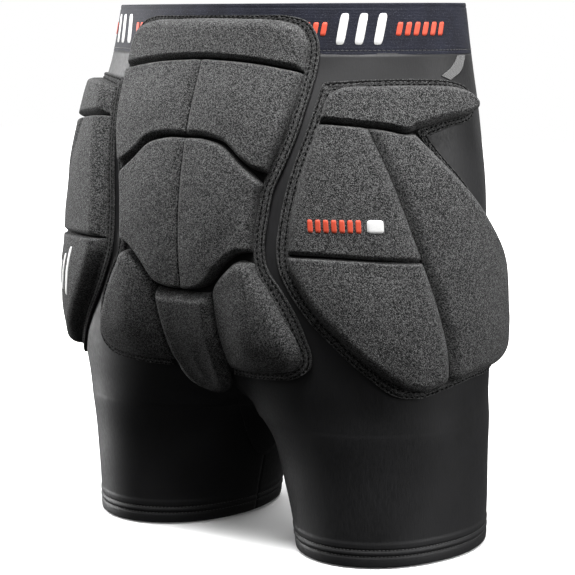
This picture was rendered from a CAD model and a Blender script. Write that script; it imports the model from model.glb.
import math

import bmesh
import bpy
import numpy as np
from mathutils import Euler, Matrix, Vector


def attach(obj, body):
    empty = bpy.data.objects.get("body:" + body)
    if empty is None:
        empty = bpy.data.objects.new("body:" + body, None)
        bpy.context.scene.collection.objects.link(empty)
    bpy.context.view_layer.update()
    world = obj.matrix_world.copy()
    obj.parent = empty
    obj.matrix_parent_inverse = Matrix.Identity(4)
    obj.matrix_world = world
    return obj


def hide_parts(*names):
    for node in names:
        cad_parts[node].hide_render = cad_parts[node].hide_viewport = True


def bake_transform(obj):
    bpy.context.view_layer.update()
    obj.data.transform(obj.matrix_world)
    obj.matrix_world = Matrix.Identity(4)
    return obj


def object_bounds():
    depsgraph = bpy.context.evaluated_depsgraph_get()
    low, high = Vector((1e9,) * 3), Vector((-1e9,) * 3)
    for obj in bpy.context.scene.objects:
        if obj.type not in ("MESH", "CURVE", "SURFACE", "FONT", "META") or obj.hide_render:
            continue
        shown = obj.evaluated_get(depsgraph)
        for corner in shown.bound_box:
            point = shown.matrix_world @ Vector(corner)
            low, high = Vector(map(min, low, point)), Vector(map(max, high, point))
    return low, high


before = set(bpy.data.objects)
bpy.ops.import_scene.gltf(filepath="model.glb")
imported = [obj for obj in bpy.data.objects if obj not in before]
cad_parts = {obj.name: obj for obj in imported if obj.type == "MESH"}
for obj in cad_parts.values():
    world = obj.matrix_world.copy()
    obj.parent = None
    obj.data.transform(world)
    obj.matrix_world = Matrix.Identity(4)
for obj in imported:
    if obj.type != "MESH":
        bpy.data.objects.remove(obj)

cad_low, cad_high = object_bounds()

# ---- Shell ----
# The shorts' shell is a smooth, dense warp knit of polyester and elastane. On each
# half one panel covers the side, the seat and the back of the leg and another the
# front, sewn edge to edge before the hip and down the inside of the thigh.
MM = 0.001
BODY = np.array([  # height, half width, depth behind, depth before
    (-430, 172.6, 86.5, 83), (-380, 175, 90, 85), (-345, 177, 94, 86),
    (-318, 179, 100, 88), (-290, 181, 108, 90), (-240, 184, 122, 95),
    (-190, 184, 129, 99), (-140, 181, 127, 100), (-90, 174, 116, 97),
    (-38, 164, 97, 90), (6, 157, 88, 85.5)], float)
CLEFT_TOP = -150.0      # below this the two halves begin to part
CROTCH = -318.0
CLEFT_POWER = 1.6
THIGH_GAP = 35.0        # half the gap between the hems
THIGH_GAP_POWER = 0.62
HEM_LOW = -422.0
BAND_LOW = -38.0
CLOTH = 1.2
FRONT_SEAM = -38.0      # the front seam's place along Y
SHELL_BRIDGE = 13.0     # how wide the cloth bridges the cleft
HEM_ROWS = (9.0, 14.0)  # heights of the two stitch rows above the edge
HEM_FOLD = 20.0
FOLD_RADIUS = 1.3
SIDES = (("left", 1.0), ("right", -1.0))
SWING_END = (0.0653, -0.389)    # and follows it fully here, out and down


def cubic(knots, values, at):
    """A cubic from knot to knot; the slope at each is its neighbours' mean slope."""
    slopes = np.gradient(values, knots, axis=0)
    low = np.clip(np.searchsorted(knots, at) - 1, 0, len(knots) - 2)
    form = np.shape(at) + (1,) * (values.ndim - 1)
    step = (knots[low + 1] - knots[low]).reshape(form)
    t = (at - knots[low]).reshape(form) / step
    rise = 3 * t**2 - 2 * t**3
    bend = (t**3 - 2 * t**2 + t) * slopes[low] + (t**3 - t**2) * slopes[low + 1]
    return (1 - rise) * values[low] + rise * values[low + 1] + step * bend


def half_section(height):
    """One half's ellipse at a height: centre x and y, radius x and y, parting."""
    height = np.asarray(height, float)
    width, back, front = (cubic(BODY[:, 0], BODY[:, k], height) for k in (1, 2, 3))
    drop = np.clip((CLEFT_TOP - height) / (CLEFT_TOP - CROTCH), 0, 1)
    parting = drop**CLEFT_POWER
    down = np.clip((CROTCH - height) / (CROTCH - HEM_LOW), 0, None)
    inner = THIGH_GAP * down**THIGH_GAP_POWER
    above = height >= CROTCH
    radius_x = np.where(above, width / (1 + parting), (width - inner) / 2)
    centre_x = np.where(above, radius_x * parting, (width + inner) / 2)
    return centre_x, (back - front) / 2, radius_x, (back + front) / 2, parting


def skin(angle, height):
    """x = c + a cos t and y = d + b sin t, from the side round to the back.

    Past the ellipse's middle, y uses sqrt(x^2 + r^2) for x, which rounds the cleft.
    """
    centre_x, centre_y, radius_x, radius_y, parting = half_section(height)
    x = centre_x + radius_x * np.cos(angle)
    bridge = SHELL_BRIDGE * 4 * parting * (1 - parting)
    across = np.clip((np.hypot(x, bridge) - centre_x) / radius_x, -1, 1)
    rounded = np.sign(np.sin(angle)) * np.sqrt(1 - across**2)
    far = np.abs(angle) > math.pi / 2
    y = centre_y + radius_y * np.where(far, rounded, np.sin(angle))
    return np.stack([x, y, np.broadcast_to(height, x.shape)], -1)


def unit(vectors):
    """Each vector over its own length."""
    length = np.linalg.norm(vectors, axis=-1, keepdims=True)
    return vectors / np.maximum(length, 1e-9)


def outward(points):
    """Unit normals of a grid whose rows run down and columns run to the back."""
    return unit(np.cross(np.gradient(points, axis=0), np.gradient(points, axis=1)))


def smooth(value):
    """0 below 0, 1 above 1, 3v^2 - 2v^3 between."""
    value = np.clip(value, 0, 1)
    return value * value * (3 - 2 * value)


def creases(points):
    """How far the cloth stands out, in mm: broad waves, folds that fan out from
    the crotch as sin(7 angle) fading with distance, and a flutter near the hem."""
    x, y, z = np.abs(points[..., 0]), points[..., 1], points[..., 2]
    broad = np.sin(x / 23 + z / 31 + 1) * np.sin(y / 27 - z / 43 + 2)
    broad += 0.6 * np.sin(x / 13 - z / 17 + 4) * np.sin(y / 15 + z / 29)
    reach = np.hypot(x, z - CROTCH)
    fan = np.sin(7 * np.arctan2(z - CROTCH, x + 4) + y / 40)
    fan *= np.exp(-(reach / 62) ** 2) * smooth(reach / 30)
    leg = smooth((-335 - z) / 80)
    flutter = leg * (np.sin(x / 21 + y / 33 + 1.3) + np.sin(y / 19 - x / 47))
    under_pad = np.exp(-((z + 302) / 13) ** 2) * smooth((x - 60) / 50)
    return 0.35 * broad + 1.1 * fan + 0.55 * flutter - 0.5 * under_pad


def hem_relief(height):
    """A doubled edge 0.5 mm proud, pulled in along the two stitch rows and swollen
    between and below them: each is a bell curve of the height."""
    up = height - HEM_LOW
    rows = sum(np.exp(-((up - row) / 0.9) ** 2) for row in HEM_ROWS)
    swell = np.exp(-((up - 11.5) / 1.5) ** 2) + 0.8 * np.exp(-((up - 4.5) / 3.2) ** 2)
    return 0.5 * smooth((HEM_FOLD + 1 - up) / 3) - 0.75 * rows + 0.35 * swell


def grid_faces(rows, columns, turned=False, loop=False):
    """Quads of a grid; loop joins the last column to the first."""
    here = np.arange(rows * columns).reshape(rows, columns)
    if loop:
        here = np.concatenate([here, here[:, :1]], axis=1)
    quads = np.stack([here[:-1, :-1], here[1:, :-1], here[1:, 1:], here[:-1, 1:]], -1)
    quads = quads.reshape(-1, 4)
    return quads[:, ::-1] if turned else quads


def make_piece(name, points, faces, finish, sign=1.0):
    """A smooth mesh from points in mm; sign -1 gives the right-hand copy."""
    corners = points.reshape(-1, 3) * (MM * sign, MM, MM)
    order = [tuple(face) if sign > 0 else tuple(face)[::-1] for face in faces]
    mesh = bpy.data.meshes.new(name)
    mesh.from_pydata(corners.tolist(), [], order)
    mesh.validate()
    mesh.shade_smooth()
    mesh.materials.append(finish)
    piece = bpy.data.objects.new(name, mesh)
    bpy.context.scene.collection.objects.link(piece)
    return piece


def thicken(piece, thickness):
    """Gives a sheet its thickness, inwards from its face."""
    solidify = piece.modifiers.new("cloth thickness", "SOLIDIFY")
    solidify.thickness = thickness * MM
    solidify.offset = -1
    return piece


def follow_leg(piece, sign):
    """Cloth above a slanted line at the crotch stays, and below it swings."""
    SWING_END[0] * sign
    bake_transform(piece)


class Number:
    """A number socket that Python's operators work on; each adds a Math node."""

    def __init__(self, finish, socket):
        self.finish = finish
        self.socket = socket

    def join(self, operation, first, second):
        node = self.finish.node("ShaderNodeMath", {"operation": operation},
                                {0: first, 1: second})
        return Number(self.finish, node.outputs[0])

    def __add__(self, other):
        return self.join("ADD", self, other)

    __radd__ = __add__

    def __sub__(self, other):
        return self.join("SUBTRACT", self, other)

    def __rsub__(self, other):
        return self.join("SUBTRACT", other, self)

    def __mul__(self, other):
        return self.join("MULTIPLY", self, other)

    __rmul__ = __mul__

    def over(self, low, high):
        """0 at low and 1 at high, clamped."""
        node = self.finish.node("ShaderNodeMapRange", {"clamp": True},
                                {"Value": self, "From Min": low, "From Max": high})
        return Number(self.finish, node.outputs[0])


class Nodes:
    """A node tree, with one method that adds any node and one that fills a socket."""

    def __init__(self, tree):
        self.tree = tree

    def node(self, kind, settings, values):
        node = self.tree.nodes.new(kind)
        for key, setting in settings.items():
            setattr(node, key, setting)
        for key, value in values.items():
            self.put(node.inputs[key], value)
        return node

    def put(self, socket, value):
        if isinstance(value, Number):
            value = value.socket
        if isinstance(value, bpy.types.NodeSocket):
            self.tree.links.new(value, socket)
        else:
            socket.default_value = value


class Finish(Nodes):
    """A node material, with the patterns and inputs that its looks are made of."""

    def __init__(self, name, **constants):
        self.material = bpy.data.materials.new(name)
        self.material.use_nodes = True
        super().__init__(self.material.node_tree)
        self.shader = self.tree.nodes["Principled BSDF"]
        for socket, value in constants.items():
            self.shader.inputs[socket.replace("_", " ")].default_value = value

    def place(self):
        """Object coordinates, in metres."""
        return self.node("ShaderNodeTexCoord", {}, {}).outputs["Object"]

    def noise(self, scale, detail=2.0, stretch=(1, 1, 1)):
        """Noise from 0 to 1 about 1/scale metres in size."""
        mapped = self.node("ShaderNodeMapping", {},
                           {"Vector": self.place(), "Scale": stretch})
        node = self.node("ShaderNodeTexNoise", {}, {
            "Vector": mapped.outputs[0], "Scale": scale, "Detail": detail})
        return Number(self, node.outputs[0])

    def cells(self, scale):
        """Voronoi cells: the distance to the nearest centre, and a random number."""
        node = self.node("ShaderNodeTexVoronoi", {}, {"Vector": self.place(),
                                                      "Scale": scale})
        return Number(self, node.outputs["Distance"]), Number(self, node.outputs["Color"])

    def axis(self, name):
        """One coordinate, X, Y or Z, in metres."""
        node = self.node("ShaderNodeSeparateXYZ", {}, {"Vector": self.place()})
        return Number(self, node.outputs[name])

    def sine(self, value):
        node = self.node("ShaderNodeMath", {"operation": "SINE"}, {0: value})
        return Number(self, node.outputs[0])

    def mix(self, factor, first, second):
        """Colour mix."""
        node = self.node("ShaderNodeMix", {"data_type": "RGBA"},
                         {"Factor": factor, "A": first, "B": second})
        return node.outputs["Result"]

    def colour(self, factor, first, second):
        self.put(self.shader.inputs["Base Color"], self.mix(factor, first, second))

    def roughness(self, value):
        self.put(self.shader.inputs["Roughness"], value)

    def bump(self, height, distance, strength=1.0):
        node = self.node("ShaderNodeBump", {}, {
            "Height": height, "Distance": distance, "Strength": strength})
        self.put(self.shader.inputs["Normal"], node.outputs[0])


def grey(level, blue=1.0):
    """A linear grey, a little bluer if blue is over 1."""
    return (level, level, level * blue, 1.0)


def shell_cloth():
    """Matt black knit: faint upright wales, uneven dye, and a soft sheen."""
    finish = Finish("shell_cloth", Sheen_Weight=0.035, Sheen_Roughness=0.4,
                    Specular_IOR_Level=0.25)
    wales = finish.noise(900, 1.0, (1, 1, 0.22))
    tone = finish.noise(22, 3.0)
    fleck = finish.noise(2600, 0.0)
    shade = tone.over(0.3, 0.7) * 0.55 + wales.over(0.3, 0.7) * 0.3
    finish.colour(shade + fleck.over(0.4, 0.75) * 0.25,
                  grey(0.0045, 1.06), grey(0.011, 1.08))
    finish.roughness(0.5 + 0.16 * wales.over(0.3, 0.7))
    finish.bump(wales + fleck * 0.5, 0.00012, 0.55)
    return finish.material


SHELL_CLOTH = shell_cloth()
# Heights of the panels' rows of points, closest at the crease and at the hem.
PANEL_HEIGHTS = np.concatenate([
    np.arange(-36.5, -300, -3.2), np.arange(-300, -336, -1.2),
    np.arange(-336, -398, -2.6), np.arange(-398, -420.4, -0.6)])


def panel_points(start, end, columns):
    """The outer face down to the edge, round the fold, and up inside it."""
    share = np.linspace(0, 1, columns)
    angle = start[:, None] * (1 - share) + end[:, None] * share
    face = skin(angle, PANEL_HEIGHTS[:, None])
    normal = outward(face)
    stand = creases(face) + hem_relief(face[..., 2])
    stand *= smooth((BAND_LOW - 1 - face[..., 2]) / 10)
    face = face + normal * stand[..., None]
    last, out = face[-1], normal[-1]
    turns = np.linspace(0, math.pi, 9)[1:]
    down = np.array([0, 0, -1.0])
    fold = [last - out * FOLD_RADIUS * (1 - math.cos(t))
            + down * FOLD_RADIUS * math.sin(t) for t in turns]
    rise = [fold[-1] - down * step for step in np.linspace(2, HEM_FOLD - 1.5, 7)]
    return np.concatenate([face, np.array(fold), np.array(rise)])


section_x, section_y, section_a, section_b, _parting = half_section(PANEL_HEIGHTS)
end_angle = np.arccos(-np.clip(section_x / section_a, 0, 1))
end_angle[PANEL_HEIGHTS <= CROTCH] = math.pi
front_angle = np.arcsin((FRONT_SEAM - section_y) / section_b)
for side, sign in SIDES:
    for part, start, end, columns, nodes in (
            ("back", front_angle, end_angle, 120, ("side_panel", "back_panel",
                                                    "thigh_crease", "leg_sleeve")),
            ("front", -end_angle, front_angle, 60, ("front_panel", "leg_hem"))):
        points = panel_points(start, end, columns)
        faces = grid_faces(len(points), columns)
        piece = make_piece(f"{part}_cloth_{side}", points, faces, SHELL_CLOTH, sign)
        thicken(piece, CLOTH)
        follow_leg(piece, sign)
        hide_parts(*[f"{node}_{side}" for node in nodes])

# ---- Lower edges ----
# Each leg ends in a doubled edge held by two rows of chain stitch in a slightly
# paler thread, which shows as fine dashes in the two grooves.
STITCH_SEGMENTS = 5
STITCH_SIDES = 6
HEM_STITCH = (3.0, 2.1, 0.33)   # pitch, length and radius
HEM_STITCH_STAND = 0.22


def dashes(spots, along, out, length, radius):
    """A small spindle at each spot: its circle's radius is r sqrt(1 - t^2) at
    t from -1 to 1 along the thread. Returns points and faces."""
    t = np.sin(np.linspace(-1, 1, STITCH_SEGMENTS) * 1.35)
    turn = np.arange(STITCH_SIDES) * 2 * math.pi / STITCH_SIDES
    wide = radius * np.sqrt(1.02 - t**2)
    across = np.cross(along, out)
    ring = (along[:, None, None] * (t * length / 2)[:, None, None]
            + across[:, None, None] * (wide[:, None] * np.cos(turn))[..., None]
            + out[:, None, None] * (wide[:, None] * np.sin(turn))[..., None])
    points = spots[:, None, None] + ring
    each = STITCH_SEGMENTS * STITCH_SIDES
    barrel = grid_faces(STITCH_SEGMENTS, STITCH_SIDES, loop=True)
    ends = [list(range(STITCH_SIDES)), list(range(each - 1, each - 1 - STITCH_SIDES, -1))]
    quads = (barrel[None] + each * np.arange(len(spots))[:, None, None]).reshape(-1, 4)
    faces = quads[:, ::-1].tolist()
    for first in range(0, each * len(spots), each):
        faces += [[first + k for k in ends[0]], [first + k for k in ends[1]]]
    return points.reshape(-1, 3), faces


def lengths(line):
    """How far along a line each of its points lies."""
    step = np.linalg.norm(np.diff(line, axis=0), axis=1)
    return np.concatenate([[0], np.cumsum(step)])


def read_at(at, length, values):
    """Each column of the values, read at places along the length."""
    return np.stack([np.interp(at, length, column) for column in values.T], -1)


def stitch_row(line, out, stitch, offset=0.0):
    """Dashes at even steps along a line of points, square to its normal."""
    pitch, long, radius = stitch
    length = lengths(line)
    at = np.arange(pitch / 2 + offset, length[-1] - pitch / 3, pitch)
    lead = unit(read_at(at + 0.5, length, line) - read_at(at - 0.5, length, line))
    lift = read_at(at, length, out)
    lift = unit(lift - lead * np.sum(lift * lead, axis=1, keepdims=True))
    return dashes(read_at(at, length, line), lead, lift, long, radius)


def gather(parts):
    """Joins several (points, faces) into one."""
    shift, points, faces = 0, [], []
    for part_points, part_faces in parts:
        points.append(part_points)
        faces += [[k + shift for k in face] for face in part_faces]
        shift += len(part_points)
    return np.concatenate(points), faces


def thread(name, level, gloss=0.4):
    """Spun polyester thread: twist lines and a slight gloss."""
    finish = Finish(name, Specular_IOR_Level=gloss, Sheen_Weight=gloss / 5)
    twist = finish.noise(3200, 1.0)
    finish.colour(twist.over(0.3, 0.7), grey(level * 0.6), grey(level * 1.3))
    finish.roughness(0.45 + 0.15 * twist)
    return finish.material


HEM_THREAD = thread("hem_thread", 0.05)
leg_turn = np.linspace(-math.pi, math.pi, 241)
for side, sign in SIDES:
    rows = []
    for row in HEM_ROWS:
        heights = HEM_LOW + row + np.array([[0.8], [0], [-0.8]])
        cloth = skin(leg_turn + 0 * heights, heights)
        normal = outward(cloth)
        stand = creases(cloth) + hem_relief(cloth[..., 2]) + HEM_STITCH_STAND
        line = (cloth + normal * stand[..., None])[1]
        rows.append(stitch_row(line, normal[1], HEM_STITCH))
    points, faces = gather(rows)
    piece = make_piece(f"hem_thread_{side}", points, faces, HEM_THREAD, sign)
    follow_leg(piece, sign)
    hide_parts(f"hem_stitching_{side}")

# ---- Gusset ----
# A lens of the same knit is sewn over the crossing of the seams between the legs,
# in a left and a right half, with a covered seam along its edge.
GUSSET_HALF_LENGTH = 62.0
GUSSET_HALF_WIDTH = 23.0
GUSSET_MIDDLE = 6.0     # how far its middle lies behind the side line
GUSSET_CLOTH = 0.9
GUSSET_LIFT = 0.75
GUSSET_SEAM = 0.5       # how much its seamed edge stands over the rest


def under_crotch(x, y):
    """Height where the body ends below (x, y), by halving the interval."""
    high = np.full(x.shape, -200.0)
    low = np.full(x.shape, -400.0)
    for _ in range(36):
        middle = (high + low) / 2
        cx, cy, a, b, _parting = half_section(middle)
        inside = ((x - cx) / a) ** 2 + ((y - cy) / b) ** 2 < 1
        high = np.where(inside, middle, high)
        low = np.where(inside, low, middle)
    return (high + low) / 2


def gusset_half():
    """x from 0 to w (1 - t^2)^0.8 and y = m + L t, on the body's underside."""
    t = np.linspace(-0.97, 0.97, 61)[:, None]
    across = np.linspace(0, 1, 17)[None]
    x = np.clip(across * GUSSET_HALF_WIDTH * (1 - t**2) ** 0.8, 0.05, None)
    y = GUSSET_MIDDLE + GUSSET_HALF_LENGTH * t + 0 * across
    points = np.stack([x, y, under_crotch(x, y)], -1)
    normal = outward(points)
    normal *= np.where(normal[..., 2:] > 0, -1, 1)
    normal[:, 0, 0] = 0
    seam = GUSSET_SEAM - smooth((1 - across) * 9) * GUSSET_SEAM
    return points + normal * (GUSSET_LIFT + seam)[..., None]


gusset_points = gusset_half()
gusset_faces = grid_faces(*gusset_points.shape[:2], turned=True)
for side, sign in SIDES:
    piece = make_piece(f"gusset_{side}", gusset_points, gusset_faces, SHELL_CLOTH, sign)
    thicken(piece, GUSSET_CLOTH)
    follow_leg(piece, sign)
    if side == "left":
        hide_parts("crotch_gusset")

# ---- Waistband ----
# A 38 mm woven elastic, navy black with pale flecks, is sewn to the shell's top
# with a row of stitches near its lower edge; its ends meet at the centre back.
BAND_OUT = 0.2
BAND_THICK = 1.9
BAND_ROUND = 0.8
BAND_GROOVES = (-3.2, -34.6)    # the lower one holds the stitches
BAND_STITCH = (3.4, 2.5, 0.32)


def close_up(piece):
    """Merges doubled points and turns all faces outwards."""
    shape = bmesh.new()
    shape.from_mesh(piece.data)
    bmesh.ops.remove_doubles(shape, verts=shape.verts, dist=2e-6)
    bmesh.ops.recalc_face_normals(shape, faces=shape.faces)
    shape.to_mesh(piece.data)
    shape.free()
    piece.data.shade_smooth()
    return piece


def corner(stand, height, start):
    """A quarter circle about (stand, height), clockwise from an angle."""
    turn = start - np.linspace(0, math.pi / 2, 5)
    return np.stack([stand + BAND_ROUND * np.cos(turn),
                     height + BAND_ROUND * np.sin(turn)], -1)


def straight(stand, start, end, count):
    """Even points between two heights, without the ends."""
    heights = np.linspace(start, end, count)[1:-1]
    return np.stack([np.full(count - 2, stand), heights], -1)


def band_section():
    """A rounded rectangle, as (stand, height) pairs, going down its outer face."""
    inner = BAND_OUT - BAND_THICK
    near, far = inner + BAND_ROUND, BAND_OUT - BAND_ROUND
    low, high = BAND_LOW + BAND_ROUND, -BAND_ROUND
    return np.concatenate([
        corner(far, high, math.pi / 2), straight(BAND_OUT, high, low, 44),
        corner(far, low, 0), corner(near, low, -math.pi / 2),
        straight(inner, low, high, 9), corner(near, high, math.pi)])


def waist_ring(profile, count):
    """Carries a profile round the waist: each stand is added to both radii."""
    angle = np.linspace(0, 2 * math.pi, count, endpoint=False)[:, None]
    stand, height = profile[:, 0][None], profile[:, 1][None]
    stand = stand + band_relief(angle, height, stand)
    _cx, centre_y, radius_x, radius_y, _p = half_section(height)
    x = (radius_x + stand) * np.cos(angle)
    y = centre_y + (radius_y + stand) * np.sin(angle)
    return np.stack([x, y, height + 0 * angle], -1)


def band_relief(angle, height, stand):
    """Two shallow grooves beside the edges and a faint unevenness."""
    outer = stand > -0.4
    grooves = sum(np.exp(-((height - groove) / 0.55) ** 2) for groove in BAND_GROOVES)
    wave = 0.12 * np.sin(9 * angle + height / 7) * np.sin(5 * angle + 1)
    return np.where(outer, -0.3 * grooves, 0) + wave - 0.12


def band_weave():
    """Ribs along the band, about 1 mm apart, and scattered pale flecks."""
    finish = Finish("band_weave", Sheen_Weight=0.03, Specular_IOR_Level=0.15)
    ribs = finish.sine(finish.axis("Z") * (2 * math.pi / 0.0011))
    fleck = finish.noise(1500, 1.0)
    tone = finish.noise(60, 2.0)
    ground = finish.mix(tone.over(0.35, 0.65), (0.003, 0.0035, 0.008, 1),
                        (0.006, 0.007, 0.014, 1))
    finish.colour(fleck.over(0.58, 0.74) * 0.5, ground, (0.07, 0.073, 0.09, 1))
    finish.roughness(0.62 + 0.2 * fleck)
    finish.bump(ribs * 0.25 + fleck, 0.00022, 0.7)
    return finish.material


band_points = waist_ring(band_section(), 420)
band_points = np.concatenate([band_points, band_points[:1]])
band_faces = grid_faces(*band_points.shape[:2], loop=True)
band = close_up(make_piece("woven_waistband", band_points, band_faces, band_weave()))
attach(band, "seat")
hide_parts("waistband_elastic")

BAND_THREAD = thread("band_thread", 0.03)
row_angle = np.linspace(0, 2 * math.pi, 721)
row_height = np.full(row_angle.shape, BAND_GROOVES[1])
_cx, row_y, row_a, row_b, _p = half_section(row_height)
line = np.stack([(row_a + 0.1) * np.cos(row_angle),
                 row_y + (row_b + 0.1) * np.sin(row_angle), row_height], -1)
row_out = np.stack([np.cos(row_angle), np.sin(row_angle), 0 * row_angle], -1)
points, faces = stitch_row(line, row_out, BAND_STITCH)
piece = make_piece("waistband_stitches", points, faces, BAND_THREAD)
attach(piece, "seat")

# The brushed facing inside the band, the two rows that join its ends and the satin
# care label behind them keep their shapes from the frame.


def brushed_facing():
    """Soft raised nap, paler at its tips."""
    finish = Finish("brushed_facing", Sheen_Weight=0.3, Roughness=0.9)
    nap = finish.noise(1700, 2.0)
    finish.colour(nap.over(0.3, 0.7), grey(0.016), grey(0.045))
    finish.bump(nap, 0.0003, 0.6)
    return finish.material


def satin_label():
    """White satin with fine lines across it."""
    finish = Finish("satin_label", Roughness=0.38, Sheen_Weight=0.2)
    lines = finish.sine(finish.axis("Z") * (2 * math.pi / 0.0007))
    finish.colour(lines.over(-1, 1), grey(0.52), grey(0.68))
    finish.bump(lines, 0.00005, 0.5)
    return finish.material


for node, material in (("waistband_facing", brushed_facing()),
                       ("waistband_join_stitch", BAND_THREAD),
                       ("care_label", satin_label())):
    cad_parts[node].material_slots[0].material = material

# ---- Pads ----
# The seat pad and the two hip pads are closed-cell foam blocks under one stretch
# cover of charcoal flecked knit. The cover is sewn down between the blocks, and
# round the pad it ends in a flat border with two rows of stitching and a folded lip.
SEAT_BRIDGE = 28.0      # how wide the pad bridges the cleft
PAD_FLOOR = 0.9         # underside of the pads over the body
FLANGE_TOP = 2.7
SEAT_FOAM_TOP = 13.9
HIP_FOAM_TOP = 15.2
COVER_BASE = 2.1        # the blocks' tops rise from this height over the body
COVER_THICK = 0.25      # the knit over the foam
CROWN_REACH = 30.0      # a block's crown is full this far from its edges
BORDER_STITCH = (4.2, 2.6, 0.72)
BORDER_STAGGER = 1.1    # the second row's stitches start this much further on
BACKING_THICK = 1.0
BACKING_STAND = FLANGE_TOP - 0.7
ARC_PLACES, ARC_WEIGHTS = np.polynomial.legendre.leggauss(14)


def seat_spot(x, height):
    """The body behind x at a height, with |x| taken as sqrt(x^2 + r^2)."""
    centre_x, centre_y, radius_x, radius_y, parting = half_section(height)
    reach = np.hypot(x, SEAT_BRIDGE * np.sqrt(parting))
    across = np.clip((reach - centre_x) / radius_x, -1, 1)
    return np.stack([x, centre_y + radius_y * np.sqrt(1 - across**2), height], -1)


def hip_spot(reach, height):
    """The body at an arc length from the side line towards the back; the angle is
    found by Newton steps on the arc's Gauss-Legendre sum."""
    centre_x, centre_y, radius_x, radius_y, _parting = half_section(height)
    angle = reach / (radius_x + radius_y) * 2
    for _ in range(5):
        turn = angle[..., None] / 2 * (ARC_PLACES + 1)
        speed = np.hypot(radius_x[..., None] * np.sin(turn),
                         radius_y[..., None] * np.cos(turn))
        arc = angle / 2 * np.sum(ARC_WEIGHTS * speed, axis=-1)
        slope = np.hypot(radius_x * np.sin(angle), radius_y * np.cos(angle))
        angle = angle - (arc - reach) / slope
    return np.stack([centre_x + radius_x * np.cos(angle),
                     centre_y + radius_y * np.sin(angle), height], -1)


def spot_normal(spot, u, z, towards):
    """Outward direction: the cross product of the two small steps."""
    down = spot(u, z - 0.5) - spot(u, z + 0.5)
    along = (spot(u + 0.5, z) - spot(u - 0.5, z)) * towards
    return unit(np.cross(down, along))


class Chart:
    """A pad's flat pattern laid on the body: (u, z) and a stand to a point. A stand
    is a number, or an array that fits the pattern's points."""

    def __init__(self, spot, towards):
        self.spot = spot
        self.towards = towards     # +1 if u grows to the wearer's back, -1 if not

    def at(self, flat, stand):
        u, z = flat[..., 0], flat[..., 1]
        normal = spot_normal(self.spot, u, z, self.towards)
        return self.spot(u, z) + normal * np.asarray(stand)[..., None], normal


SEAT = Chart(seat_spot, -1)
HIP = Chart(hip_spot, 1)


def smooth_line(points, count):
    """A cubic through the points, read at even steps of its length, or at the
    shares of it that count lists."""
    points = np.asarray(points, float)
    if len(points) > 2:
        knots = lengths(points)
        points = cubic(knots, points, np.linspace(0, knots[-1], 400))
    length = lengths(points)
    share = np.asarray(count) if np.ndim(count) else np.linspace(0, 1, count)
    return read_at(share * length[-1], length, points)


def edge_dense(count):
    """Shares from 0 to 1, close together near both ends: 0.12 t plus 0.88 times
    half of 1 - cos(180 deg t)."""
    even = np.linspace(0, 1, count)
    return 0.12 * even + 0.88 * (0.5 - 0.5 * np.cos(math.pi * even))


def patch(top, bottom, near, far, rows, columns):
    """A Coons patch: the sum of two ruled grids less the corners' bilinear one."""
    v, u = edge_dense(rows)[:, None, None], edge_dense(columns)[None, :, None]
    top, bottom = (smooth_line(run, edge_dense(columns)) for run in (top, bottom))
    near, far = (smooth_line(run, edge_dense(rows)) for run in (near, far))
    ruled = (1 - v) * top[None] + v * bottom[None]
    ruled = ruled + (1 - u) * near[:, None] + u * far[:, None]
    corners = (1 - v) * ((1 - u) * top[0] + u * top[-1])
    corners = corners + v * ((1 - u) * bottom[0] + u * bottom[-1])
    return ruled - corners


def nearest(flat, line):
    """Distance from each point to a line, and the place along it from 0 to 1."""
    start, leg = line[:-1], np.diff(line, axis=0)
    offset = flat[..., None, :] - start
    t = np.sum(offset * leg, -1) / np.maximum(np.sum(leg * leg, -1), 1e-9)
    t = np.clip(t, 0, 1)
    apart = np.linalg.norm(offset - t[..., None] * leg, axis=-1)
    best = np.argmin(apart, axis=-1)
    place = (best + np.take_along_axis(t, best[..., None], -1)[..., 0]) / len(leg)
    return np.min(apart, axis=-1), place


def foam_height(flat, edges, top, crown):
    """T times the product, over the edges, of f + (1 - f) sqrt(1 - (1 - d/r)^2):
    d is the distance to the edge, r its rounding and f how high it stays. A soft
    valley, where f is over a half, has sin(90 deg d/r) for the root."""
    height = np.ones(flat.shape[:-1])
    middle = np.ones(flat.shape[:-1])
    for run, radii, floors in edges:
        apart, place = nearest(flat, smooth_line(run, 90))
        t = np.clip(apart / (radii[0] + (radii[1] - radii[0]) * place), 0, 1)
        floor = floors[0] + (floors[1] - floors[0]) * place
        curve = np.where(floor > 0.5, np.sin(math.pi / 2 * t), np.sqrt(1 - (1 - t) ** 2))
        height *= floor + (1 - floor) * curve
        middle *= smooth(apart / CROWN_REACH)
    u, z = flat[..., 0], flat[..., 1]
    uneven = np.sin(u / 9 + z / 14) * np.sin(z / 11 - u / 21 + 1)
    uneven += 0.7 * np.sin(u / 5.1 - z / 7.3 + 2) * np.sin(z / 6.1 + 3)
    return (top - FLANGE_TOP) * height + crown * middle + 0.16 * uneven * height


def foam_block(name, chart, top, sign, shape, edges, crown, counts=(76, 76)):
    """A crowned top, upright walls and an underside, as one closed surface."""
    flat = patch(*shape, *counts)
    raised = np.maximum(foam_height(flat, edges, top, crown), 0)
    stand = COVER_BASE + raised + COVER_THICK
    upper = chart.at(flat, stand)[0]
    lower = chart.at(flat, PAD_FLOOR + 0.2)[0]
    rows, columns = stand.shape
    index = np.arange(rows * columns).reshape(rows, columns)
    rim = np.concatenate([index[0], index[1:, -1], index[-1, -2::-1], index[-2:0:-1, 0]])
    after = np.roll(rim, -1)
    under = rows * columns
    walls = np.stack([rim, after, after + under, rim + under], -1)
    faces = np.concatenate([grid_faces(rows, columns),
                            grid_faces(rows, columns, turned=True) + under, walls])
    points = np.concatenate([upper.reshape(-1, 3), lower.reshape(-1, 3)])
    piece = make_piece(name, points, faces, COVER, sign)
    return piece


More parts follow.
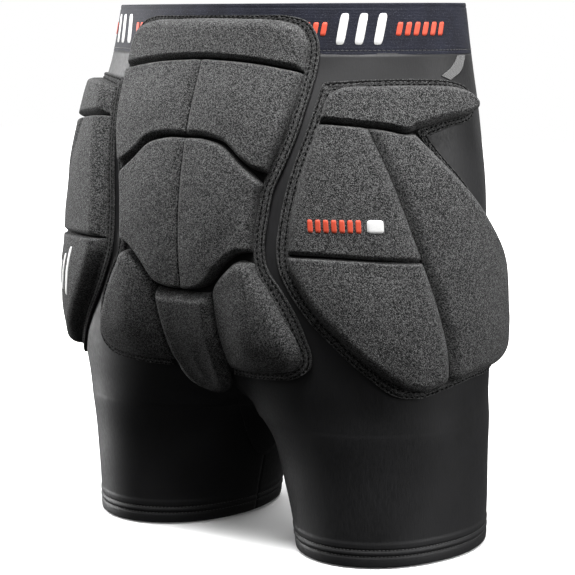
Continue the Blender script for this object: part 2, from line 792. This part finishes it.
def flecked_knit(name, dark, light, sheen):
    """Charcoal stretch knit: loops about 0.6 mm across, each of a random tone from
    dark to light, under a finer and a broader unevenness."""
    finish = Finish(name, Sheen_Weight=sheen, Sheen_Roughness=0.5, Roughness=0.88,
                    Specular_IOR_Level=0.08)
    edge, chance = finish.cells(1600)
    fine = finish.noise(3000, 0.0)
    tone = finish.noise(35, 2.0)
    fleck = chance.over(0.35, 0.95) * 0.9 + fine.over(0.45, 0.65) * 0.35
    finish.colour(fleck + tone * 0.1 - 0.13, grey(dark), grey(light))
    finish.bump(1 - edge + fine * 0.4, 0.0005, 0.8)
    return finish.material


COVER = flecked_knit("pad_cover_knit", 0.002, 0.125, 0.05)
BORDER = flecked_knit("pad_border_knit", 0.003, 0.095, 0.05)
BACKING = flecked_knit("pad_backing_knit", 0.004, 0.014, 0.02)
PAD_THREAD = thread("pad_thread", 0.0012, 0.05)

# Border profile: share from the sewn edge (0) to the padding (1), and height. The
# two dips are the stitch rows and the rise at the end is the folded lip.
STITCH_SHARES = (0.24, 0.72)


def border_profile():
    """Up the sewn edge, over the stitched face and lip, and back underneath."""
    face = np.linspace(0.05, 1.0, 40)
    dips = sum(np.exp(-((face - share) / 0.055) ** 2) for share in STITCH_SHARES)
    lip = np.exp(-((face - 0.95) / 0.055) ** 2)
    stand = FLANGE_TOP - 0.5 * dips + 0.75 * lip + 0.12 * np.sin(face * 19)
    edge = [(-0.015, 1.3), (-0.02, 1.8), (0.0, 2.3)]
    under = [(1.12, FLANGE_TOP - 0.2), (1.12, 1.1), (0.6, PAD_FLOOR), (0.05, PAD_FLOOR)]
    return np.array(edge + list(zip(face, stand)) + under)


def matched_lines(outer, inner, spacing=1.6):
    """The sewn edge and the padding's edge, run by run, point for point."""
    lines = [[], []]
    for runs in zip(outer, inner):
        count = max(int(lengths(np.array(runs[0], float))[-1] / spacing), 4)
        for line, run in zip(lines, runs):
            line.append(smooth_line(run, count + 1)[:-1])
    for line, runs in zip(lines, (outer, inner)):
        line.append(np.array(runs[-1][-1:], float))
    return tuple(np.concatenate(line) for line in lines)


def soften(line, closed, times=5):
    """Rounds corners: each point moves to the mean of itself and its neighbours."""
    for _ in range(times):
        if closed:
            line = (np.roll(line, 1, 0) + 2 * line + np.roll(line, -1, 0)) / 4
        else:
            line = np.concatenate([line[:1], (line[:-2] + 2 * line[1:-1] + line[2:]) / 4,
                                   line[-1:]])
    return line


def border(name, chart, outer, inner, closed, side, sign):
    """Carries the border's profile along the outline, with its two stitch rows."""
    sewn, padding = matched_lines(outer, inner)
    if closed:
        sewn, padding = sewn[:-1], padding[:-1]
    sewn, padding = soften(sewn, closed), soften(padding, closed)
    profile = border_profile()
    share = profile[:, 0][None, :, None]
    flat = sewn[:, None] * (1 - share) + padding[:, None] * share
    points = chart.at(flat, profile[:, 1])[0]
    if closed:
        points = np.concatenate([points, points[:1]])
    faces = grid_faces(*points.shape[:2], loop=True).tolist()
    if not closed:
        count = len(profile)
        last = (len(points) - 1) * count
        faces += [list(range(count)), [last + k for k in range(count - 1, -1, -1)]]
    piece = close_up(make_piece(f"{name}_{side}", points, faces, BORDER, sign))
    rows = []
    for number, stitch_share in enumerate(STITCH_SHARES):
        line = sewn * (1 - stitch_share) + padding * stitch_share
        if closed:
            line = np.concatenate([line, line[:1]])
        spots, normal = chart.at(line, FLANGE_TOP - 0.2)
        rows.append(stitch_row(spots, normal, BORDER_STITCH, BORDER_STAGGER * number))
    stitch_points, stitch_faces = gather(rows)
    stitches = make_piece(f"{name}_stitches_{side}", stitch_points, stitch_faces,
                          PAD_THREAD, sign)
    for sewn_piece, slot in ((piece, "pad_border"), (stitches, "thread")):
        follow_leg(sewn_piece, sign)
    return piece, stitches


# ---- Seat pad ----
# Foam blocks: a strip that laps the waistband, an upper and a middle pair on each
# side of a shallow centre seam, a lobe under each buttock, and a tongue between them.
SEAT_SEWN = [
    [(0, -9), (62, -9)],
    [(62, -9), (80, -14), (89, -27), (91.5, -48)],
    [(91.5, -48), (90.4, -70), (88, -92), (81, -119), (75, -136), (72.4, -156),
     (71, -180), (74, -194), (84, -208), (96, -229), (105, -255)],
    [(105, -255), (103.5, -266), (94, -273.5), (60, -279)],
    [(60, -279), (30, -279)],
]
SEAT_PADDING = [
    [(0, -11.5), (60, -13.5)],
    [(60, -13.5), (75, -18.5), (82, -30), (83.5, -48)],
    [(83.5, -48), (82.6, -70), (80, -92), (72.5, -119), (66.5, -137), (64, -157),
     (63, -178), (65.5, -194), (74, -208), (86, -229), (97, -255)],
    [(97, -255), (96, -262.5), (89, -269), (60, -273.5)],
    [(60, -273.5), (33, -273.5)],
]
SHUT = (0.0, 0.0)       # an edge sewn right down
OUTER = (8.5, 8.5)      # rounding of the pads' outer edges
CENTRE_STITCH = (3.4, 2.3, 0.8)


def moved(run, across, up):
    """A seam's line shifted a little, to one side of the seam."""
    return [(u + across, z + up) for u, z in run]


def mirrored(run):
    """A run's mirror image across the pad's centre line."""
    return [(-u, z) for u, z in run]


def both(half):
    """A left-hand run that ends at the centre, and its mirror image after it."""
    return half + mirrored(half[-2::-1])


strip_seam = [(83.4, -52), (46, -46), (0, -43)]
strip_outer = [(83.4, -51.1), (83, -40), (82, -30), (75, -18.5), (60, -13.5)]
strip_top = [(60, -13.5), (30, -12), (0, -11.5)]
strip_low = both(moved(strip_seam, 0, 0.8))
seat_blocks = {
    "seat_strip": dict(
        shape=(both(strip_top), strip_low, strip_outer[::-1],
               mirrored(strip_outer[::-1])),
        edges=[(both(strip_outer + strip_top[1:]), OUTER, SHUT),
               (strip_low, (3, 3), (0.2, 0.2))],
        crown=1.3, counts=(60, 150)),
}
seat_side = SEAT_PADDING[2]
upper_side = [(83.3, -53.1), *seat_side[1:4], (70.6, -124.6)]
upper_top = moved(strip_seam, 0, -0.8)
upper_low = [(70.6, -124.6), (61, -122.2), (50, -115.9), (34, -103.7), (18, -99.7),
             (0, -99.2)]
upper_middle = [(0, -43.8), (0, -99.2)]
seat_blocks["seat_upper"] = dict(
    shape=(upper_top, upper_low, upper_side, upper_middle),
    edges=[(upper_side, OUTER, SHUT), (upper_top, (3.5, 3.5), (0.15, 0.35)),
           (upper_low, (4.2, 3.2), (0, 0.25)), (upper_middle, (6, 6), (0.66, 0.6))],
    crown=1.6)
middle_side = [(67.9, -132), *seat_side[4:7], (63.1, -181.6)]
middle_top = [(67.9, -132), (60, -125.4), (50, -118.4), (34, -106), (18, -101.9),
              (0, -101.4)]
middle_low = [(63.1, -181.6), (52, -183.6), (37.8, -194.4), (24, -208.6), (10, -211.6),
              (0, -212.2)]
middle_middle = [(0, -101.4), (0, -212.2)]
seat_blocks["seat_middle"] = dict(
    shape=(middle_top, middle_low, middle_side, middle_middle),
    edges=[(middle_side, OUTER, SHUT), (middle_top, (4, 3.5), (0, 0.35)),
           (middle_low, (4.8, 3.6), (0, 0.15)), (middle_middle, (6, 6), (0.62, 0.6))],
    crown=1.8)
lobe_top = [(64.9, -190.4), (54, -188), (40.4, -197.4), (28.4, -210)]
lobe_inner = [(28.4, -210), (28.2, -240), (29, -273.5)]
lobe_low = [(89, -269), (60, -273.5), (29, -273.5)]
lobe_side = [(64.9, -190.4), *seat_side[7:], *SEAT_PADDING[3][1:3]]
lobe_fall = [(140, -268), (0, -284)]    # the foam thins towards this line
seat_blocks["seat_lobe"] = dict(
    shape=(lobe_top, lobe_low, lobe_side, lobe_inner),
    edges=[(lobe_side + [(60, -273.5), (29, -273.5)], (9, 12), SHUT),
           (lobe_fall, (62, 62), (0.1, 0.1)),
           (lobe_top, (6.5, 6), (0, 0.06)), (lobe_inner, (6, 7), (0.08, 0.1)),
           (lobe_inner, (36, 36), (0.62, 0.55))],
    crown=1.6)
tongue_top = [(27, -213.6), (22, -214.4), (0, -215.2), (-22, -214.4), (-27, -213.6)]
tongue_left = [(27, -213.6), (27, -240), (26, -272)]
tongue_right = mirrored(tongue_left)
tongue_low = [(26, -272), (20, -290), (0, -299), (-20, -290), (-26, -272)]
seat_blocks["seat_tongue"] = dict(
    shape=(tongue_top, tongue_low, tongue_left, tongue_right),
    edges=[(tongue_top, (6.5, 6.5), (0.05, 0.05)), (tongue_left, (6, 8), (0.15, 0.08)),
           (tongue_right, (6, 8), (0.15, 0.08)), (tongue_low, (9, 9), SHUT),
           ([(60, -304), (-60, -304)], (84, 84), (0.1, 0.1))],
    crown=1.8)
for block, spec in seat_blocks.items():
    node = "seat_lower_foam" if block == "seat_lobe" else f"{block}_foam"
    whole = block in ("seat_strip", "seat_tongue")
    for side, sign in (("centre", 1.0),) if whole else SIDES:
        name = block if whole else f"{block}_{side}"
        piece = foam_block(name, SEAT, SEAT_FOAM_TOP, sign, **spec)
        if whole:
            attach(piece, "seat")
        else:
            follow_leg(piece, sign)
        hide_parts(node if whole else f"{node}_{side}")


def backing(name, chart, sewn, centre, side, sign, rows=90, columns=50):
    """A ruled sheet under the pad, between its two edges at each height."""
    heights = np.linspace(sewn[0][1] - 0.5, sewn[-1][1] + 0.5, rows)
    first = np.interp(-heights, -sewn[:, 1], sewn[:, 0])
    second = np.interp(-heights, -centre[:, 1], centre[:, 0])
    share = np.linspace(0, 1, columns)
    u = first[:, None] * (1 - share) + second[:, None] * share
    flat = np.stack([u, np.broadcast_to(heights[:, None], u.shape)], -1)
    points = chart.at(flat, BACKING_STAND)[0]
    piece = make_piece(f"{name}_{side}", points, grid_faces(rows, columns), BACKING, sign)
    thicken(piece, BACKING_THICK)
    follow_leg(piece, sign)
    return piece


def falling(runs):
    """Runs as one line of points, less those that aren't lower than all before."""
    line = np.concatenate([np.array(run, float) for run in runs])
    lowest = np.minimum.accumulate(line[:-1, 1])
    return line[np.concatenate([[True], line[1:, 1] < lowest - 0.01])]


seat_edge = falling([[(62, -9.5)], SEAT_SEWN[1][1:], SEAT_SEWN[2], SEAT_SEWN[3][1:3],
                     [(60, -278.5)]])
for side, sign in SIDES:
    piece, stitches = border("seat_border", SEAT, SEAT_SEWN, SEAT_PADDING, False,
                             side, sign)
    if side == "left":
        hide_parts("seat_pad_border", "seat_pad_cover")
        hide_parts("seat_pad_stitching")
    sheet = backing("seat_backing", SEAT, seat_edge,
                    np.array([(0, -9.5), (0, -278.5)], float), side, sign)
    if side == "left":
        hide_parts("seat_pad_backing")

# Dashes along the shallow centre seam, where the cover is stitched through.
seams = []
for top, low, stand in ((-46, -98, 9.6), (-104, -209, 9.3)):
    line = smooth_line([(0, top), (0, (top + low) / 2), (0, low)], 60)
    spots, normal = SEAT.at(line, stand)
    seams.append(stitch_row(spots, normal, CENTRE_STITCH))
points, faces = gather(seams)
piece = make_piece("seat_centre_stitches", points, faces, PAD_THREAD)
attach(piece, "seat")

# ---- Hip pads ----
# Four blocks on each hip: a strip under the waistband that ends in a finger to the
# front, and below it an upper, a lower and a long front block that meet at a
# diagonal seam. Their pattern is (reach from the side line, height).
HIP_SEWN = [
    [(113, -58), (73, -56), (40, -56), (15, -58), (-2, -64), (-9, -75)],
    [(-9, -75), (-6, -84), (4, -88), (20, -90), (42, -97)],
    [(42, -97), (31, -111), (9, -134), (-23, -168), (-50, -196), (-59, -221)],
    [(-59, -221), (-65, -245), (-55, -268), (-21, -279), (5, -280), (28, -284),
     (53, -290)],
    [(53, -290), (71, -288), (92, -273), (123, -244), (136, -230), (150, -209),
     (157.5, -190), (157.5, -176), (154, -157), (144.5, -126), (130, -95)],
    [(130, -95), (113, -58)],
]
HIP_PADDING = [
    [(107, -66), (73, -62), (40, -61.5), (17, -63), (4, -68), (-2, -76)],
    [(-2, -76), (0, -80.5), (10, -83.5), (30, -87), (50, -93)],
    [(50, -93), (38, -110), (14, -136), (-17, -170), (-43, -198), (-50, -221)],
    [(-50, -221), (-55, -243), (-47, -262), (-19, -272), (5, -273), (30, -277),
     (52, -283)],
    [(52, -283), (66, -281), (86, -268), (117, -239), (129.5, -225.5), (142, -205.5),
     (148.5, -190), (148, -177), (145, -158), (136, -127), (121, -92)],
    [(121, -92), (107, -66)],
]
finger_top = [(10, -64.8), (17, -63), (40, -61.5), (73, -62), (104, -65.4)]
finger_tip = [(10, -64.8), (2.5, -69), (-1.8, -75), (-0.5, -80), (7, -83)]
finger_low = [(7, -83), (30, -87), (51, -92.6)]
hip_strip_rear = [(104, -65.4), (109.5, -69), (118.4, -87)]
hip_strip_low = [(51, -92.6), (58, -94.2), (71, -91.6), (89, -89.6), (118.4, -87)]
diagonal = [(85, -90.9), (72, -128), (54, -186), (43, -222), (35, -258), (34, -279)]
upper_diagonal = diagonal[:3]
lower_diagonal = diagonal[2:]
front_top = [(52.5, -94.6), (58, -96), (71, -93.6), (84.6, -91.2)]
front_side = [(52.5, -94.6), (38, -111), *HIP_PADDING[2][2:], (-54.5, -243), (-47, -262)]
front_low = [(-47, -262), (-19, -272), (5, -273), (33.6, -278)]
rear_top = [(85, -91.2), (89, -90.9), (108, -89.4), (119.4, -88.6)]
hip_side = HIP_PADDING[4][::-1]
rear_side = [(119.4, -88.6), *hip_side[1:3], (148.1, -182)]
level_above = [(54, -186), (87, -184.6), (120, -182.8), (148.1, -182)]
level_below = [(54, -187.1), (87, -185.8), (120, -184), (148.2, -183.3)]
low_side = [(148.2, -183.3), (147.6, -192), *hip_side[5:10]]
low_end = [(34.3, -279), (44, -281), (52, -283), (66, -281)]
hip_blocks = {
    "hip_strip": dict(
        shape=(finger_top, finger_low + hip_strip_low[1:], finger_tip, hip_strip_rear),
        edges=[(finger_low[::-1] + finger_tip[::-1][1:] + finger_top[1:]
                + hip_strip_rear[1:], (5, 5.5), SHUT),
               (hip_strip_low, (3, 3), (0, 0.2))], crown=0.8, counts=(60, 130)),
    "hip_front": dict(
        shape=(front_top, front_low, front_side, moved(diagonal, -0.15, 0)),
        edges=[(front_side + front_low[1:], OUTER, SHUT),
               (front_top, (3.5, 3.5), (0.08, 0.1)), (diagonal, (8, 8), (0.72, 0.55))],
        crown=1.6, counts=(110, 70)),
    "hip_upper": dict(
        shape=(rear_top, level_above, moved(upper_diagonal, 0.15, -0.3), rear_side),
        edges=[(rear_top, (3.5, 3.5), (0.1, 0.05)), (level_above, (3, 4), (0.5, 0.3)),
               (upper_diagonal, (8, 8), (0.72, 0.66)), (rear_side, OUTER, SHUT)],
        crown=1.4),
    "hip_lower": dict(
        shape=(level_below, low_end, moved(lower_diagonal, 0.2, -1.0), low_side),
        edges=[(level_below, (2.5, 2.5), (0.55, 0.4)), (lower_diagonal, (8, 8), (0.66, 0.5)),
               (low_side + low_end[::-1][1:], (9, 9), SHUT)], crown=1.8),
}
hip_front_edge = falling([HIP_SEWN[0][3:], *HIP_SEWN[1:4]])
hip_rear_edge = falling([HIP_SEWN[5][::-1], HIP_SEWN[4][::-1]])
for side, sign in SIDES:
    for block, spec in hip_blocks.items():
        piece = foam_block(f"{block}_{side}", HIP, HIP_FOAM_TOP, sign, **spec)
        follow_leg(piece, sign)
        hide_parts(f"{block}_foam_{side}")
    piece, stitches = border("hip_border", HIP, HIP_SEWN, HIP_PADDING, True, side, sign)
    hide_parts(f"hip_pad_border_{side}", f"hip_pad_cover_{side}")
    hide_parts(f"hip_pad_stitching_{side}")
    sheet = backing("hip_backing", HIP, hip_front_edge, hip_rear_edge, side, sign)
    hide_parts(f"hip_pad_backing_{side}")

# ---- Prints ----
# Flat rubber transfers: a row of short upright blocks on the right hip and three
# rising strokes on the left, and on the waistband white bars between small blocks.


def print_finish(name, colour, worn):
    """Rubbery ink, slightly broken up where the knit shows through it."""
    finish = Finish(name, Specular_IOR_Level=0.35)
    grain = finish.noise(2100, 1.0)
    finish.colour(grain.over(0.62, 0.78) * 0.6, colour, worn)
    finish.roughness(0.5 + 0.2 * grain)
    finish.bump(grain, 0.0001, 0.4)
    return finish.material


PRINT_ORANGE = print_finish("print_orange", (0.42, 0.050, 0.022, 1), (0.2, 0.02, 0.01, 1))
PRINT_WHITE = print_finish("print_white", (0.52, 0.52, 0.515, 1), (0.3, 0.3, 0.3, 1))


PRINT_BASE = 0.3        # a print's underside over the block it is on
HIP_PRINT_HEIGHT = -161.0
MARK_REACH = 80.0       # the waistband mark's middle, round from the side line
MARK_HEIGHT = BAND_LOW / 2
STROKE_SIDES = 24
STROKE_STEPS = np.array([(1, 0), (0.97, 0.28), (0.6, 0.3), (0.3, 0.3), (0.02, 0.3)])


def stroke(centre, size, slant, stand):
    """A rounded bar: |p|^5 + |q|^5 <= 1 stretched to its size, leaning by slant, and
    raised in rings from its outline to its middle, by (share, height) steps."""
    ring = np.linspace(0, 2 * math.pi, STROKE_SIDES, endpoint=False)
    p = np.sign(np.cos(ring)) * np.abs(np.cos(ring)) ** 0.4
    q = np.sign(np.sin(ring)) * np.abs(np.sin(ring)) ** 0.4
    share, lift = STROKE_STEPS[:, :1], STROKE_STEPS[:, 1:]
    across, up = share * p * size[0] / 2, share * q * size[1] / 2
    flat = np.stack([centre[0] + across + up * math.tan(slant), centre[1] + up], -1)
    points = HIP.at(flat, stand(flat) + lift)[0].reshape(-1, 3)
    faces = grid_faces(len(share), STROKE_SIDES, loop=True).tolist()
    faces.append(list(range(len(points) - STROKE_SIDES, len(points))))
    return points, faces


def on_block(block):
    """Height of a hip block's top over the body, just above its knit."""
    spec = hip_blocks[block]

    def stand(flat):
        raised = foam_height(flat, spec["edges"], HIP_FOAM_TOP, spec["crown"])
        return COVER_BASE + raised + PRINT_BASE
    return stand


def on_band(flat):
    """Height of the band's face over the body, the same everywhere."""
    return 0.25


def make_print(name, parts, finish, sign):
    points, faces = gather(parts)
    piece = close_up(make_piece(name, points, faces, finish, sign))
    follow_leg(piece, sign)
    return piece


orange = [stroke((96 + 5.4 * k, HIP_PRINT_HEIGHT), (3.6, 9.5), 0.0, on_block("hip_upper"))
          for k in range(7)]
white = [stroke((85, HIP_PRINT_HEIGHT), (11, 9.5), 0.0, on_block("hip_upper"))]
piece = make_print("hip_blocks_orange", orange, PRINT_ORANGE, -1.0)
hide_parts("hip_print_right")
make_print("hip_block_white", white, PRINT_WHITE, -1.0)
strokes = [stroke((106 - 12 * k, -214 - 2 * k), (5, length), 0.25,
                  on_block("hip_lower")) for k, length in enumerate((40, 30, 20))]
piece = make_print("hip_strokes", strokes, PRINT_WHITE, 1.0)
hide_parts("hip_print_left")
for side, sign in SIDES:
    bars = [stroke((MARK_REACH + 14 * k, MARK_HEIGHT), (6.5, 23), -0.3, on_band)
            for k in (-1, 0, 1)]
    marks = [stroke((MARK_REACH + way * (28 + 6.6 * k), MARK_HEIGHT), (4.2, 10), -0.3, on_band)
             for way in (-1, 1) for k in range(6)]
    piece = make_print(f"band_bars_{side}", bars, PRINT_WHITE, sign)
    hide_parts(f"waistband_mark_{side}")
    make_print(f"band_blocks_{side}", marks, PRINT_ORANGE, sign)

# ---- Vents ----
# A crescent of open polyester net is set into each side, from the waistband down to
# the hip pad's finger, to let heat out.


def open_mesh():
    """Grey net: dark holes in a check of 1.6 mm, where sin y sin z is over 0."""
    finish = Finish("open_mesh", Sheen_Weight=0.2, Roughness=0.7)
    waves = 2 * math.pi / 0.0016
    rows = finish.sine(finish.axis("Z") * waves)
    columns = finish.sine(finish.axis("Y") * waves)
    hole = (rows * columns).over(0.05, 0.5)
    finish.colour(hole, grey(0.085), grey(0.012))
    finish.bump(1 - hole, 0.0003, 0.8)
    return finish.material


MESH = open_mesh()
MESH_THICK = 0.6
MESH_STAND = 0.75
for side, sign in SIDES:
    flat = patch([(-6, -38.6), (4, -38.6)], [(15, -56.6), (23, -53.4)],
                 [(-6, -38.6), (0, -48), (15, -56.6)],
                 [(4, -38.6), (11, -46), (23, -53.4)], 30, 18)
    points = HIP.at(flat, MESH_STAND)[0]
    piece = make_piece(f"vent_{side}", points, grid_faces(30, 18), MESH, sign)
    thicken(piece, MESH_THICK)
    follow_leg(piece, sign)
    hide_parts(f"mesh_vent_{side}")

# ---- Floor, light and camera ----
# A pale floor and a white surround, a soft lamp high over the back of the shorts, a
# tall soft lamp on each side that lights the edges, and a broad dim one in front.


def pale_floor():
    """Pale paper; past 0.5 m from the shorts it glows, so its far edge is white."""
    finish = Finish("pale_floor", Base_Color=grey(0.93), Roughness=0.9,
                    Emission_Strength=1.0)
    away = finish.axis("X") * finish.axis("X") + finish.axis("Y") * finish.axis("Y")
    finish.put(finish.shader.inputs["Emission Color"],
               finish.mix(away.over(0.25, 1.2), grey(0.0), grey(1.0)))
    return finish.material


FLOOR_HALF = 4.0        # metres
floor_height = cad_low.z - 0.0008
floor_mesh = bpy.data.meshes.new("floor")
floor_mesh.from_pydata([(x * FLOOR_HALF, y * FLOOR_HALF, floor_height) for x, y in
                        ((-1, -1), (1, -1), (1, 1), (-1, 1))], [], [(0, 1, 2, 3)])
floor_mesh.materials.append(pale_floor())
floor = bpy.data.objects.new("floor", floor_mesh)
bpy.context.scene.collection.objects.link(floor)
floor.visible_diffuse = False
floor.visible_glossy = False

# The surround is white where it is seen; as light it is bright overhead and dim
# below, as over a table in a studio.
world = bpy.data.worlds.new("studio")
world.use_nodes = True
sky = Nodes(world.node_tree)
way = sky.node("ShaderNodeTexCoord", {}, {}).outputs["Generated"]
height = sky.node("ShaderNodeSeparateXYZ", {}, {0: way}).outputs["Z"]
overhead = sky.node("ShaderNodeMapRange", {"interpolation_type": "SMOOTHSTEP"}, {
    "Value": height, "From Min": -0.2, "From Max": 0.95, "To Min": 0.04, "To Max": 1.1})
seen = sky.node("ShaderNodeLightPath", {}, {}).outputs["Is Camera Ray"]
strength = sky.node("ShaderNodeMapRange", {}, {
    "Value": seen, "To Min": overhead.outputs[0], "To Max": 1.0})
surround = sky.tree.nodes["Background"]
sky.put(surround.inputs["Color"], (1, 1, 1, 1))
sky.put(surround.inputs["Strength"], strength.outputs[0])
bpy.context.scene.world = world


def soft_lamp(name, place, aim, size, power):
    """A rectangular lamp at a place, turned to an aim."""
    lamp = bpy.data.lights.new(name, "AREA")
    lamp.shape = "RECTANGLE"
    lamp.size, lamp.size_y = size
    lamp.energy = power
    holder = bpy.data.objects.new(name, lamp)
    holder.location = place
    way = (np.array(aim) - np.array(place)).tolist()
    holder.rotation_euler = Vector(way).to_track_quat("-Z", "Y").to_euler()
    bpy.context.scene.collection.objects.link(holder)


CENTRE = (0, 0, -0.2)
soft_lamp("key", (-0.32, 0.46, 1.12), (0, 0, -0.12), (0.7, 0.5), 53)
soft_lamp("left_edge", (1.5, 0.25, 0.0), CENTRE, (0.5, 1.4), 52)
soft_lamp("right_edge", (-1.6, -0.3, 0.25), CENTRE, (0.5, 1.6), 32)
soft_lamp("room", (0.6, -1.6, 1.6), CENTRE, (1.6, 1.6), 30)

camera_data = bpy.data.cameras.new("camera")
camera_data.lens = 112.3
camera_data.sensor_width = 36
camera = bpy.data.objects.new("camera", camera_data)
camera.location = (-0.8726, 1.1580, -0.0079)
camera.rotation_euler = Euler((math.radians(90 - 8.67), math.radians(0.19),
                               math.radians(180 + 37)), "XYZ")
bpy.context.scene.collection.objects.link(camera)
bpy.context.scene.camera = camera
bpy.context.scene.view_settings.view_transform = "Standard"
